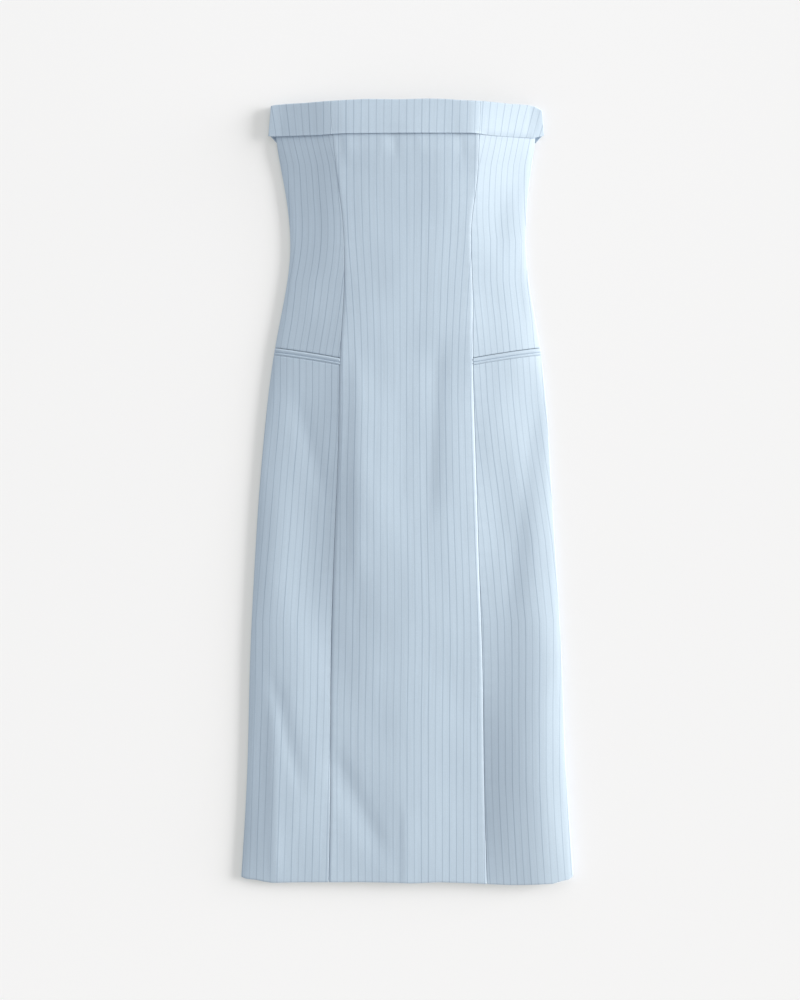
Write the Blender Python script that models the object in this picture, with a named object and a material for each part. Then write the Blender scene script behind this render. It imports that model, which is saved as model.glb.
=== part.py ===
"""Strapless midi dress with a turned-down cuff, princess seams and slanted double-welt pockets,
laid flat on its back.

The frame: +Z up, +Y towards the neck, +X to the right seen from above. The origin is under the middle
of the dress, on the surface that it lies on. Left and right are those of someone looking down at it.
Sizes in the tables are in millimetres and become metres in one place, where the meshes are filled.
"""

import bmesh
import bpy
import numpy as np

MM = 0.001

CLOTH = 1.2            # thickness of the suiting
CUFF = 1.6             # the cuff is two layers pressed together
SEAM_GAP = 0.3         # free space between two pieces that are sewn together
LIE_GAP = 0.3          # free space between a piece and the one that it lies on
HALF_SEAM = SEAM_GAP / 2

SIDE_EDGE = 4.8        # height of the front's outer face along the side seams
SIDE_TURN = SIDE_EDGE - 2 * CLOTH - LIE_GAP     # there the back turns up to meet it
SIDE_TURN_WIDTH = 22.0
SIDE_ROLL = 0.6        # least height of the soft roll beside each side seam
SIDE_ROLL_WIDTH = 9.0
SEAM_ROLL_WIDTH = 5.0  # the centre panel curls down to its seams over this width

NECK_Y = 534.5         # the body's own top edge at the centre, inside the turn of the cuff
HEM_Y = -536.6
WAIST_LIFT_END = 430.0     # below this the back lies on the floor, not on the cuff
WAIST_LIFT_START = 474.0   # above this it lies on the back of the cuff

POCKET_SEAM_Y = 184.0  # the pocket mouth where it meets the princess seam
POCKET_SLANT = 14.0    # and how much higher it is at the side seam
MOUTH_GAP = 0.7        # the pocket mouth stands a little open
LIP_UPPER = 5.4        # width of the two welts of a pocket
LIP_LOWER = 3.8
LIP_SWELL = 0.7        # how far each welt's fold stands proud

ZIP_END_Y = 165.0
ZIP_WIDTH = 24.0
ZIP_THICK = 1.0
VENT_TOP_Y = -310.0
VENT_HALF_WIDTH = 1.7  # half of the vent's opening at the hem

# One row for each section, from the neck to the hem: where the side seams and princess seams run.
SECTION_COLUMNS = ("y", "left", "seam_left", "seam_right", "right")
SECTIONS = (
    (540.0, -182.0, -105.0, 101.0, 181.0),
    (482.0, -179.0, -101.0, 99.0, 177.0),
    (425.0, -169.5, -94.5, 96.5, 169.5),
    (370.0, -161.5, -87.5, 89.5, 165.0),
    (320.0, -160.5, -85.5, 89.0, 165.0),
    (270.0, -167.0, -86.0, 91.0, 171.0),
    (215.0, -177.5, -89.5, 91.0, 181.0),
    (160.0, -186.5, -92.0, 91.5, 188.5),
    (90.0, -194.5, -93.0, 93.5, 194.5),
    (0.0, -202.5, -96.0, 96.5, 200.0),
    (-110.0, -209.5, -100.5, 100.0, 206.5),
    (-240.0, -215.5, -104.0, 104.5, 214.0),
    (-380.0, -219.0, -104.5, 106.5, 219.0),
    (-470.0, -223.5, -105.5, 108.5, 225.0),
    (-540.0, -228.0, -107.0, 110.5, 230.0),
)

# How high the front stands over SIDE_EDGE: just inside the side seams, to which it then curls down, in
# each side panel at OUTER and INNER of the way from the side seam to the princess seam, at those seams,
# and in the centre panel NEAR each seam and in the middle. edge is how far the centre panel's edges stand
# over their seams on top of that.
OUTER, INNER, NEAR = 0.25, 0.62, 0.2
HEIGHT_COLUMNS = ("y", "side_left", "outer_left", "inner_left", "seam_left", "near_left", "middle",
                  "near_right", "seam_right", "inner_right", "outer_right", "side_right", "edge")
HEIGHTS = (
    (540.0, 0.0, 3.5, 9.0, 14.5, 17.0, 19.0, 19.5, 18.0, 12.0, 5.0, 0.0, 0.2),
    (485.0, 0.0, 4.0, 10.0, 16.5, 19.5, 22.0, 22.5, 21.0, 13.5, 5.5, 0.0, 0.2),
    (430.0, 0.0, 4.0, 10.0, 16.0, 18.5, 21.0, 21.5, 19.5, 12.0, 4.5, 0.0, 0.2),
    (370.0, 0.0, 3.5, 9.0, 13.5, 15.5, 17.0, 17.0, 15.0, 9.5, 4.0, 0.0, 0.2),
    (315.0, 0.0, 3.5, 8.5, 12.5, 14.0, 15.5, 14.5, 13.0, 9.0, 4.0, 0.0, 0.3),
    (260.0, 0.0, 3.5, 7.5, 11.5, 13.5, 14.5, 14.0, 12.5, 8.5, 4.0, 0.0, 0.4),
    (215.0, 0.0, 3.5, 8.0, 13.0, 14.5, 15.5, 15.5, 14.5, 10.5, 5.5, 0.0, 0.5),
    (160.0, 0.0, 4.0, 8.0, 12.5, 14.0, 14.0, 13.5, 13.0, 9.5, 5.0, 0.0, 0.7),
    (110.0, 0.0, 3.5, 6.5, 12.0, 14.5, 13.5, 14.0, 12.0, 9.0, 3.5, 0.0, 0.7),
    (55.0, 0.0, 3.0, 5.5, 10.5, 14.0, 12.5, 13.0, 10.5, 7.5, 3.5, 0.0, 0.7),
    (0.0, 0.0, 3.5, 4.5, 9.0, 13.5, 12.0, 12.0, 9.5, 6.0, 4.5, 0.5, 0.7),
    (-55.0, 0.0, 4.0, 4.0, 7.5, 12.0, 11.5, 10.5, 8.5, 5.0, 5.0, 1.0, 0.7),
    (-110.0, 0.0, 4.0, 3.5, 6.0, 10.0, 10.5, 9.5, 7.0, 5.5, 5.5, 1.5, 0.7),
    (-180.0, 0.0, 4.0, 4.5, 4.0, 7.5, 9.0, 7.5, 5.5, 6.0, 6.5, 2.0, 0.6),
    (-250.0, 0.0, 4.0, 6.0, 4.0, 6.5, 7.5, 6.0, 4.5, 6.5, 7.5, 3.0, 0.5),
    (-310.0, 0.0, 4.0, 6.5, 5.0, 6.0, 7.5, 5.5, 3.5, 8.0, 9.0, 4.0, 0.5),
    (-380.0, 0.0, 4.0, 6.5, 5.5, 6.5, 7.0, 5.0, 3.0, 9.5, 10.5, 5.5, 0.4),
    (-430.0, 0.0, 4.5, 7.0, 6.0, 5.5, 7.5, 5.5, 3.5, 10.0, 10.5, 5.5, 0.4),
    (-480.0, 0.0, 4.5, 6.5, 6.5, 6.5, 8.0, 6.5, 5.0, 10.0, 10.0, 5.0, 0.3),
    (-540.0, 0.0, 3.0, 5.0, 6.0, 6.0, 7.0, 6.5, 6.0, 8.5, 8.5, 4.0, 0.3),
)

# How far the body's top edge and hem lie from NECK_Y and HEM_Y, across the width as seen from above.
NECK_COLUMNS = ("x", "drop")
NECK_LINE = ((-189.0, 9.5), (-183.0, 7.0), (-163.0, 5.6), (-142.0, 5.2), (-98.0, 3.0), (-55.0, 1.2),
             (-10.0, 2.0), (30.0, 1.0), (55.0, 1.7), (75.0, 3.2), (107.0, 4.2), (141.0, 6.6), (164.0, 7.0),
             (174.0, 8.2), (181.0, 11.0), (186.0, 15.0))
HEM_COLUMNS = ("x", "rise")
HEM_LINE = ((-228.0, 5.5), (-221.0, 3.0), (-206.0, 1.6), (-197.0, -0.4), (-184.0, -2.2), (-146.0, -1.2),
            (-70.0, -0.8), (-31.0, -1.2), (8.0, -2.4), (46.0, -0.8), (84.0, -2.2), (112.0, -3.6),
            (142.0, -4.6), (161.0, -4.4), (188.0, -3.4), (201.0, -2.8), (214.0, 0.8), (224.0, 2.8),
            (230.0, 7.5))

# The cuff's lower edge, from side to side, and the lines of its two ends.
CUFF_COLUMNS = ("x", "y")
CUFF_EDGE = ((-190.0, 487.0), (-179.0, 486.2), (-121.0, 486.2), (-100.0, 487.3), (-84.0, 487.7),
             (91.0, 487.7), (103.0, 486.9), (114.0, 485.6), (130.0, 484.9), (172.0, 484.3), (190.0, 489.5))
CUFF_END_TOP_Y = 531.0
CUFF_END_LOW_Y = 490.0
CUFF_LEFT = (-186.0, -189.4)    # x at the top and at the lower edge
CUFF_RIGHT = (185.0, 188.9)
CUFF_BACK_LOW_Y = 478.5         # the back of the cuff reaches lower than the front
CUFF_BACK_CORNER = 11.5         # width of its slanted corners
CUFF_OFF = 0.9                  # how far the cuff stands off the body
CUFF_FLARE = 0.5                # and how much further at its lower edge
CUFF_END_SLOPE = 0.3            # it goes on falling beyond the side seams
CUFF_END_RISE = 2.4             # and the back of the cuff rises there to meet it
CUFF_RISE_WIDTH = 16.0
CUFF_REST_LOW = 2.2             # lowest height of the front cuff, over the back one, at its lower edge
CUFF_REST_TOP = 5.4             # and at the top edge, where both of them turn over the body
CUFF_TURN = 0.4                 # inside radius where the cuff turns over the top edge

# Soft folds of the front, all running towards the hem: from one point to another, how wide each is to
# its left and right, and how high, below zero a trough.
FOLD_COLUMNS = ("x0", "y0", "x1", "y1", "left_width", "right_width", "height")
FOLDS = (
    # left side of the skirt
    (-158.0, 150.0, -106.0, -30.0, 14.0, 12.0, -0.8),
    (-190.0, -230.0, -140.0, -430.0, 10.0, 12.0, -0.9),
    (-184.0, -270.0, -180.0, -560.0, 10.0, 10.0, 0.9),
    # right side of the skirt
    (180.0, 120.0, 140.0, -180.0, 14.0, 18.0, -1.0),
    # centre panel
    (44.0, 220.0, 28.0, -60.0, 16.0, 12.0, -1.0),
    (-66.0, 200.0, -68.0, -140.0, 10.0, 16.0, 0.9),
    (-112.0, -340.0, -22.0, -520.0, 20.0, 14.0, -1.3),
    (-2.0, -410.0, -2.0, -590.0, 5.0, 16.0, 0.7),
    # sides of the bodice
    (138.0, 440.0, 120.0, 300.0, 14.0, 14.0, -0.6),
    (-128.0, 430.0, -112.0, 300.0, 14.0, 14.0, -0.5),
)
FOLD_END = 60.0        # a fold fades in and out over this length
FOLD_SIDE_FADE = 16.0  # and towards the side seams over this one


def spline(xs, ys):
    """Returns the natural cubic spline through the points, as a function of an array."""
    xs, ys = np.asarray(xs, float), np.asarray(ys, float)
    gap, slope = np.diff(xs), np.diff(ys) / np.diff(xs)
    system, right_side = np.eye(len(xs)), np.zeros(len(xs))
    for i in range(1, len(xs) - 1):
        system[i, i - 1:i + 2] = gap[i - 1], 2 * (gap[i - 1] + gap[i]), gap[i]
        right_side[i] = 6 * (slope[i] - slope[i - 1])
    bend = np.linalg.solve(system, right_side)

    def at(x):
        x = np.clip(x, xs[0], xs[-1])
        i = np.clip(np.searchsorted(xs, x) - 1, 0, len(gap) - 1)
        a, b = xs[i + 1] - x, x - xs[i]
        curved = (bend[i] * a**3 + bend[i + 1] * b**3) / (6 * gap[i])
        return (curved + (ys[i] / gap[i] - bend[i] * gap[i] / 6) * a
                + (ys[i + 1] / gap[i] - bend[i + 1] * gap[i] / 6) * b)

    return at


def column(rows, columns, name):
    return [row[columns.index(name)] for row in rows]


UPWARDS = sorted(SECTIONS)
SECTION = {name: spline(column(UPWARDS, SECTION_COLUMNS, "y"), column(UPWARDS, SECTION_COLUMNS, name))
           for name in SECTION_COLUMNS[1:]}
FORM_UPWARDS = sorted(HEIGHTS)
FORM = {name: spline(column(FORM_UPWARDS, HEIGHT_COLUMNS, "y"), column(FORM_UPWARDS, HEIGHT_COLUMNS, name))
        for name in HEIGHT_COLUMNS[1:]}

# The places of those heights across the dress: a side panel is 1 wide and the centre panel 2.
STATIONS = (0.0, OUTER, INNER, 1.0, 1.0 + 2 * NEAR, 2.0, 3.0 - 2 * NEAR, 3.0, 4.0 - INNER, 4.0 - OUTER,
            4.0)
# First and last station of each panel, so that the front bends at its seams. The cuff runs over them.
PANELS = ((0, 3), (3, 7), (7, 10))
IN_ONE = ((0, 10),)


def neck_y(x):
    xs, drops = (column(NECK_LINE, NECK_COLUMNS, name) for name in NECK_COLUMNS)
    return NECK_Y - np.interp(x, xs, drops)


def hem_y(x):
    """The hem runs straight between the table's points, which keeps its two corners crisp."""
    xs, rises = (column(HEM_LINE, HEM_COLUMNS, name) for name in HEM_COLUMNS)
    return HEM_Y + np.interp(x, xs, rises)


def cuff_low(x):
    xs, ys = (column(CUFF_EDGE, CUFF_COLUMNS, name) for name in CUFF_COLUMNS)
    return np.interp(x, xs, ys)


def smooth_step(t):
    t = np.clip(t, 0.0, 1.0)
    return t * t * (3 - 2 * t)


def rolled(distance, width):
    """A quarter sine: 0 at the edge and 1 from width inwards. It goes on below the edge."""
    return np.sin(np.pi / 2 * np.clip(distance / width, -1.0, 1.0))


def cuff_lift(y):
    """Height of the back over the floor, where it lies on the back of the cuff."""
    share = smooth_step((y - WAIST_LIFT_END) / (WAIST_LIFT_START - WAIST_LIFT_END))
    return (CUFF + LIE_GAP) * share


def near_end(distance, height, width):
    """A soft upturn that is height high at the end and gone that width further in."""
    return height * (1 - smooth_step(distance / width))


def folds(x, y):
    """Sum of the soft folds: each a bell across its line, with its own width to either side, fading in
    and out along it."""
    total = np.zeros_like(x)
    for x0, y0, x1, y1, left_width, right_width, height in FOLDS:
        length = np.hypot(x1 - x0, y1 - y0)
        along = ((x - x0) * (x1 - x0) + (y - y0) * (y1 - y0)) / length
        across = ((y - y0) * (x1 - x0) - (x - x0) * (y1 - y0)) / length
        ends = smooth_step(along / FOLD_END) * smooth_step((length - along) / FOLD_END)
        width = np.where(across < 0, left_width, right_width)
        total += height * ends * np.exp(-(across / width) ** 2)
    return total


def station(x, s):
    """Place across the dress: 0 to 1 over the left side panel, to 3 over the centre and to 4 at the right."""
    left = (x - s["left"]) / (s["seam_left"] - s["left"])
    centre = 1 + 2 * (x - s["seam_left"]) / (s["seam_right"] - s["seam_left"])
    right = 3 + (x - s["seam_right"]) / (s["right"] - s["seam_right"])
    return np.where(x < s["seam_left"], left, np.where(x > s["seam_right"], right, centre))


def lofted(x, y, runs):
    """Smooth heights through the table's, in each run of stations by itself: a cubic across the dress
    through cubics along it."""
    place = station(x, {name: curve(y) for name, curve in SECTION.items()})
    heights = [FORM[name](y) for name in HEIGHT_COLUMNS[1:-1]]
    total = np.zeros_like(x)
    for first, last in runs:
        knots = STATIONS[first:last + 1]
        shares = [spline(knots, unit)(place) for unit in np.eye(len(knots))]
        part = sum(share * height for share, height in zip(shares, heights[first:last + 1]))
        total = np.where((place > knots[0]) & (place <= knots[-1]), part, total)
    return total


def front_height(x, y):
    """Height of the front's outer face: the form, with the rolls at the side seams, the centre panel's
    edges over its seams, and the folds."""
    s = {name: curve(y) for name, curve in SECTION.items()}
    inside = np.minimum(x - s["seam_left"], s["seam_right"] - x)
    step = FORM["edge"](y) * rolled(np.maximum(inside, 0.0), SEAM_ROLL_WIDTH)
    nearest = np.minimum(x - s["left"], s["right"] - x)
    fade = 1 - np.exp(-(np.maximum(nearest, 0.0) / FOLD_SIDE_FADE) ** 2)
    side = np.where(x < 0, FORM["side_left"](y), FORM["side_right"](y))
    curl = (SIDE_ROLL + side) * rolled(nearest, SIDE_ROLL_WIDTH) - side
    return SIDE_EDGE + cuff_lift(y) + curl + lofted(x, y, PANELS) + step + folds(x, y) * fade


def cuff_height(x, y):
    """Height of the front cuff's inner face: on the body, a little off it towards the lower edge, and
    never lower than the back of the cuff."""
    down = np.clip((neck_y(x) - y) / (neck_y(x) - cuff_low(x)), 0.0, 1.0)
    beyond = np.maximum(np.maximum(SECTION["left"](y) - x, x - SECTION["right"](y)), 0.0)
    body = SIDE_EDGE + SIDE_ROLL + cuff_lift(y) + lofted(x, y, IN_ONE) - CUFF_END_SLOPE * beyond
    on_body = body + CUFF_OFF + CUFF_FLARE * smooth_step(down)
    from_end = np.minimum(x - cuff_end(CUFF_LEFT, y), cuff_end(CUFF_RIGHT, y) - x)
    lowest = CUFF_REST_TOP + (CUFF_REST_LOW - CUFF_REST_TOP) * down
    lowest = lowest + near_end(from_end, CUFF_END_RISE, CUFF_RISE_WIDTH)
    return (on_body + lowest + np.sqrt((on_body - lowest) ** 2 + 0.2)) / 2


def upward_normal(height, x, y):
    """Unit normals of a height field, by central differences."""
    step = 0.25
    slope_x = (height(x + step, y) - height(x - step, y)) / (2 * step)
    slope_y = (height(x, y + step) - height(x, y - step)) / (2 * step)
    normal = np.stack([-slope_x, -slope_y, np.ones_like(x)], axis=-1)
    return normal / np.linalg.norm(normal, axis=-1, keepdims=True)


def front_cloth(x, y, swell=0.0):
    """Outer and inner face points of a front piece, whose outer face is the front's height field."""
    outer = np.stack([x, y, front_height(x, y)], axis=-1)
    normal = upward_normal(front_height, x, y)
    return outer + normal * np.reshape(swell, (-1, 1)), outer - normal * CLOTH


def side_line(side, y, inset=0.0):
    """The side seam of that side, moved inwards."""
    return SECTION["left"](y) + inset if side == "left" else SECTION["right"](y) - inset


def seam_line(side, y, outwards=0.0):
    """The princess seam of that side, moved towards the side seam."""
    return SECTION["seam_left"](y) - outwards if side == "left" else SECTION["seam_right"](y) + outwards


def pocket_y(t):
    """Height on the body of the pocket mouth, t being 0 at the side seam and 1 at the princess seam."""
    return POCKET_SEAM_Y + POCKET_SLANT * (1 - t)


def across_side(side, t, y):
    """x of the point t of the way from the side seam to the princess seam."""
    edge, seam = side_line(side, y), seam_line(side, y, HALF_SEAM)
    return edge + t * (seam - edge)


def side_piece(side, t, v, top, low, swell=0.0):
    """Points of a piece of a side panel. t runs from side seam to princess seam, v from low to top."""
    y = low + v * (top - low)
    return front_cloth(across_side(side, t, y), y, swell)


def centre_front(u, v):
    """Points of the centre front, u from the left seam to the right one, v from the hem to the neck."""
    x_low = seam_line("left", HEM_Y) + u * (seam_line("right", HEM_Y) - seam_line("left", HEM_Y))
    x_top = seam_line("left", NECK_Y) + u * (seam_line("right", NECK_Y) - seam_line("left", NECK_Y))
    y = hem_y(x_low) + v * (neck_y(x_top) - hem_y(x_low))
    left, right = seam_line("left", y, -HALF_SEAM), seam_line("right", y, -HALF_SEAM)
    return front_cloth(left + u * (right - left), y)


def upper_side(side):
    """The side front above the pocket."""
    def points(t, v):
        top = neck_y(across_side(side, t, NECK_Y))
        return side_piece(side, t, v, top, pocket_y(t) + MOUTH_GAP / 2)
    return points


def lower_side(side):
    """The side front of the skirt, from below the welts to the hem."""
    def points(t, v):
        top = pocket_y(t) - MOUTH_GAP / 2 - LIP_UPPER - LIP_LOWER - 2 * SEAM_GAP
        return side_piece(side, t, v, top, hem_y(across_side(side, t, HEM_Y)))
    return points


def pocket_lip(side, below_mouth, width):
    """A welt of the pocket: a strip whose fold stands proud of the panel."""
    def points(t, v):
        top = pocket_y(t) - MOUTH_GAP / 2 - below_mouth
        return side_piece(side, t, v, top, top - width, LIP_SWELL * np.sin(np.pi * v))
    return points


def cuff_end(pair, y):
    """x of the cuff's end at that y, on the straight line through its top and lower corner."""
    top, low = pair
    return low + (top - low) * (y - CUFF_END_LOW_Y) / (CUFF_END_TOP_Y - CUFF_END_LOW_Y)


def cuff_panel(left_line, right_line, left_x, right_x):
    """A piece of the front cuff. The lines give its ends as x for each y, and the two numbers where they
    stand at mid height, for its lower and upper edge. The last rows turn down over the top edge."""
    turn_share = 0.82      # v from here on is the turn

    def points(u, v):
        x_guide = left_x + u * (right_x - left_x)
        low, top = cuff_low(x_guide), neck_y(x_guide) + LIE_GAP
        y = low + np.minimum(v / turn_share, 1.0) * (top - low)
        left, right = left_line(y), right_line(y)
        x = left + u * (right - left)
        flat = np.stack([x, y, cuff_height(x, y)], axis=-1)
        normal = upward_normal(cuff_height, x, y)
        turn = np.clip((v - turn_share) / (1 - turn_share), 0.0, 1.0)
        angle = (np.pi / 2 * np.minimum(turn / 0.75, 1.0))[:, None]
        drop = (np.maximum(turn - 0.75, 0.0) / 0.25 * CLOTH)[:, None]
        forward = np.array([0.0, 1.0, 0.0])
        facing = normal * np.cos(angle) + forward * np.sin(angle)
        facing /= np.linalg.norm(facing, axis=1, keepdims=True)
        inner = flat + CUFF_TURN * (facing - normal) - np.array([0.0, 0.0, 1.0]) * drop
        return inner + facing * CUFF, inner

    return points


def cuff_back(u, v):
    """The back of the cuff lies on the floor, and its last rows turn up over the back's top edge."""
    turn_share = 0.8
    left_x, right_x = CUFF_LEFT[0], CUFF_RIGHT[0]
    x_guide = left_x + u * (right_x - left_x)
    from_end = np.minimum(x_guide - left_x, right_x - x_guide)
    corner = np.clip(1 - from_end / CUFF_BACK_CORNER, 0.0, 1.0)
    low = CUFF_BACK_LOW_Y + corner * (CUFF_END_LOW_Y - CUFF_BACK_LOW_Y)
    top = neck_y(x_guide) + LIE_GAP
    y = low + np.minimum(v / turn_share, 1.0) * (top - low)
    left, right = cuff_end(CUFF_LEFT, y), cuff_end(CUFF_RIGHT, y)
    x = left + u * (right - left)
    turn = np.clip((v - turn_share) / (1 - turn_share), 0.0, 1.0)
    angle = np.pi / 2 * np.minimum(turn / 0.75, 1.0)
    climb = np.maximum(turn - 0.75, 0.0) / 0.25 * CLOTH
    facing = np.stack([np.zeros_like(x), np.sin(angle), -np.cos(angle)], axis=-1)
    end_rise = near_end(np.minimum(x - left, right - x), CUFF_END_RISE, CUFF_RISE_WIDTH)
    centre = np.stack([x, y, CUFF + CUFF_TURN + climb + end_rise], axis=-1)
    inner = centre + CUFF_TURN * facing
    return inner + facing * CUFF, inner


def back_panel(side):
    """Half of the back, flat on the floor below the cuff but for its upturned side, with a vent in its
    centre seam at the hem."""
    def points(t, v):
        edge_low, edge_top = side_line(side, HEM_Y, SEAM_GAP), side_line(side, NECK_Y, SEAM_GAP)
        low = hem_y(edge_low * (1 - t)) + 1.0
        top = neck_y(edge_top * (1 - t))
        y = low + v * (top - low)
        vent = HALF_SEAM + VENT_HALF_WIDTH * np.clip((VENT_TOP_Y - y) / (VENT_TOP_Y - HEM_Y), 0.0, 1.0)
        edge, middle = side_line(side, y, SEAM_GAP), (-vent if side == "left" else vent)
        x = edge + t * (middle - edge)
        upturn = near_end(np.abs(x - edge), SIDE_TURN, SIDE_TURN_WIDTH)
        lower = np.stack([x, y, cuff_lift(y) + upturn], axis=-1)
        return lower, lower + np.array([0.0, 0.0, CLOTH])
    return points


def back_zip(u, v):
    """The tape of the concealed zip, inside on the centre back seam."""
    y = ZIP_END_Y + v * (NECK_Y - 4.0 - ZIP_END_Y)
    x = (u - 0.5) * ZIP_WIDTH
    lower = np.stack([x, y, cuff_lift(y) + CLOTH + LIE_GAP], axis=-1)
    return lower + np.array([0.0, 0.0, ZIP_THICK]), lower


def evenly(count):
    return np.linspace(0.0, 1.0, count)


def from_side(count):
    """Columns of a side piece, closer together over the roll beside the side seam."""
    near = np.array([0.0, 0.02, 0.045, 0.08])
    return np.concatenate([near, np.linspace(0.15, 1.0, count - len(near))])


def upturned(count):
    """Columns of the back, closer together where its side turns up."""
    near = np.array([0.0, 0.025, 0.05, 0.075, 0.1])
    return np.concatenate([near, np.linspace(0.2, 1.0, count - len(near))])


def closer_at_ends(count):
    """Columns of the back of the cuff, closer together where its ends rise."""
    near = np.array([0.0, 0.008, 0.016, 0.025, 0.034, 0.042])
    return np.concatenate([near, np.linspace(0.08, 0.92, count - 2 * len(near)), 1 - near[::-1]])


def between_seams(count):
    """Columns of the centre panel, closer together where it curls down to its seams."""
    near = np.array([0.0, 0.012, 0.025, 0.042])
    return np.concatenate([near, np.linspace(0.1, 0.9, count - 2 * len(near)), 1 - near[::-1]])


def turned_rows(flat, turn_share, turned):
    """Rows of a cuff piece: some over the flat part and some round the turn."""
    return np.concatenate([np.linspace(0.0, turn_share, flat), np.linspace(turn_share, 1.0, turned)[1:]])


def fabric(name, colour, roughness):
    material = bpy.data.materials.new(name)
    material.use_nodes = True
    shader = material.node_tree.nodes["Principled BSDF"]
    shader.inputs["Base Color"].default_value = (*colour, 1.0)
    shader.inputs["Roughness"].default_value = roughness
    shader.inputs["Metallic"].default_value = 0.0
    return material


def cloth_wall(name, points, columns, rows, colour, roughness=0.85):
    """A closed wall: a grid, extruded once, whose two layers take the outer and inner face points.
    points(u, v) gives both, for arrays of u and v from 0 to 1."""
    bm = bmesh.new()
    bmesh.ops.create_grid(bm, x_segments=len(columns) - 1, y_segments=len(rows) - 1, size=0.5)
    outer_count = len(bm.verts)
    bmesh.ops.extrude_face_region(bm, geom=bm.faces[:])
    bm.verts.ensure_lookup_table()
    place = np.array([vertex.co[:2] for vertex in bm.verts]) + 0.5
    u = np.interp(place[:, 0], evenly(len(columns)), columns)
    v = np.interp(place[:, 1], evenly(len(rows)), rows)
    outer, inner = points(u, v)
    for i, vertex in enumerate(bm.verts):
        vertex.co = (outer[i] if i < outer_count else inner[i]) * MM
    bmesh.ops.recalc_face_normals(bm, faces=bm.faces[:])
    if bm.calc_volume(signed=True) < 0:
        bmesh.ops.reverse_faces(bm, faces=bm.faces[:])
    mesh = bpy.data.meshes.new(name)
    bm.to_mesh(mesh)
    bm.free()
    mesh.shade_smooth()
    mesh.set_sharp_from_angle(angle=np.radians(50))
    mesh.materials.append(fabric(name, colour, roughness))
    return bpy.data.objects.new(name, mesh)


BLUE = (0.51, 0.62, 0.73)
ZIP_BLUE = (0.40, 0.52, 0.62)


def pieces():
    """Every sewn piece of the dress, as objects."""
    made = [cloth_wall("centre_front", centre_front, between_seams(15), evenly(45), BLUE)]
    for side in ("left", "right"):
        made += [
            cloth_wall(f"side_front_upper_{side}", upper_side(side), from_side(11), evenly(17), BLUE),
            cloth_wall(f"side_front_lower_{side}", lower_side(side), from_side(12), evenly(33), BLUE),
            cloth_wall(f"pocket_welt_upper_{side}", pocket_lip(side, 0.0, LIP_UPPER), from_side(11),
                       evenly(5), BLUE),
            cloth_wall(f"pocket_welt_lower_{side}", pocket_lip(side, LIP_UPPER + SEAM_GAP, LIP_LOWER),
                       from_side(11), evenly(5), BLUE),
            cloth_wall(f"back_{side}", back_panel(side), upturned(9), evenly(41), BLUE),
        ]
    made += cuff_pieces()
    made.append(cloth_wall("back_zip", back_zip, evenly(3), evenly(21), ZIP_BLUE, 0.6))
    return made


def cuff_pieces():
    """The front cuff is cut in three, at the princess seams, and the back in one."""
    seam_left_x, seam_right_x = seam_line("left", CUFF_END_TOP_Y), seam_line("right", CUFF_END_TOP_Y)
    rows = turned_rows(6, 0.82, 6)
    side_left = cuff_panel(lambda y: cuff_end(CUFF_LEFT, y), lambda y: seam_line("left", y, HALF_SEAM),
                           CUFF_LEFT[0], seam_left_x)
    middle = cuff_panel(lambda y: seam_line("left", y, -HALF_SEAM),
                        lambda y: seam_line("right", y, -HALF_SEAM), seam_left_x, seam_right_x)
    side_right = cuff_panel(lambda y: seam_line("right", y, HALF_SEAM), lambda y: cuff_end(CUFF_RIGHT, y),
                            seam_right_x, CUFF_RIGHT[0])
    towards_side = 1 - from_side(12)[::-1]
    return [
        cloth_wall("cuff_front_left", side_left, from_side(12), rows, BLUE),
        cloth_wall("cuff_front_centre", middle, between_seams(15), rows, BLUE),
        cloth_wall("cuff_front_right", side_right, towards_side, rows, BLUE),
        cloth_wall("cuff_back", cuff_back, closer_at_ends(36), turned_rows(4, 0.8, 6), BLUE),
    ]


def main():
    for old in list(bpy.data.objects):
        bpy.data.objects.remove(old, do_unlink=True)
    collection = bpy.data.collections.new("strapless_dress")
    bpy.context.scene.collection.children.link(collection)
    dress = bpy.data.objects.new("dress", None)
    collection.objects.link(dress)
    for piece in pieces():
        collection.objects.link(piece)
        piece.parent = dress


main()
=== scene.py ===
"""A strapless midi dress in pinstriped suiting, laid flat on its back and seen from above.

+Z is up from the surface, +Y towards the neck and +X to the right. Left and right are those of someone
looking down at the dress. Tables and functions are in millimetres and become metres where a mesh is
filled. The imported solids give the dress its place. Each cloth piece here follows the same sections as
its solid, with a finer grid, a turned edge, and the creases that the cloth lies in.
"""

import bpy
import numpy as np
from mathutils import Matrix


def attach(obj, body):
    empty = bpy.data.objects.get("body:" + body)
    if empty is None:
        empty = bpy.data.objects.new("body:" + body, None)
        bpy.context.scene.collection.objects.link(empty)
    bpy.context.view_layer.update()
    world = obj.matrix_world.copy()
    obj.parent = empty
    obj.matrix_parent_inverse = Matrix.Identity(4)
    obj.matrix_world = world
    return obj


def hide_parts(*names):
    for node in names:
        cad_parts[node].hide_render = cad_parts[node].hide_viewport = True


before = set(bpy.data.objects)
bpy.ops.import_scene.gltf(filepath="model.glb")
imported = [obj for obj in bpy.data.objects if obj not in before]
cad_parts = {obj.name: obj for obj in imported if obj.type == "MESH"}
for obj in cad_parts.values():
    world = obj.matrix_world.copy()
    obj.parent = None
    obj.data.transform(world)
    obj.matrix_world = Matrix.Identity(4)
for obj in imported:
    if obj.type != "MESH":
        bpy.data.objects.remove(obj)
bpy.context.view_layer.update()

MM = 0.001

CLOTH = 1.2            # thickness of the suiting
CUFF = 1.6             # the cuff is two layers pressed together
EDGE = 0.35            # the turned edge of a panel stands this far outside its grid
HALF_SEAM = 0.08       # half of the free space left in a seam
LIE_GAP = 0.3          # free space between a piece and the one that it lies on

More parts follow.
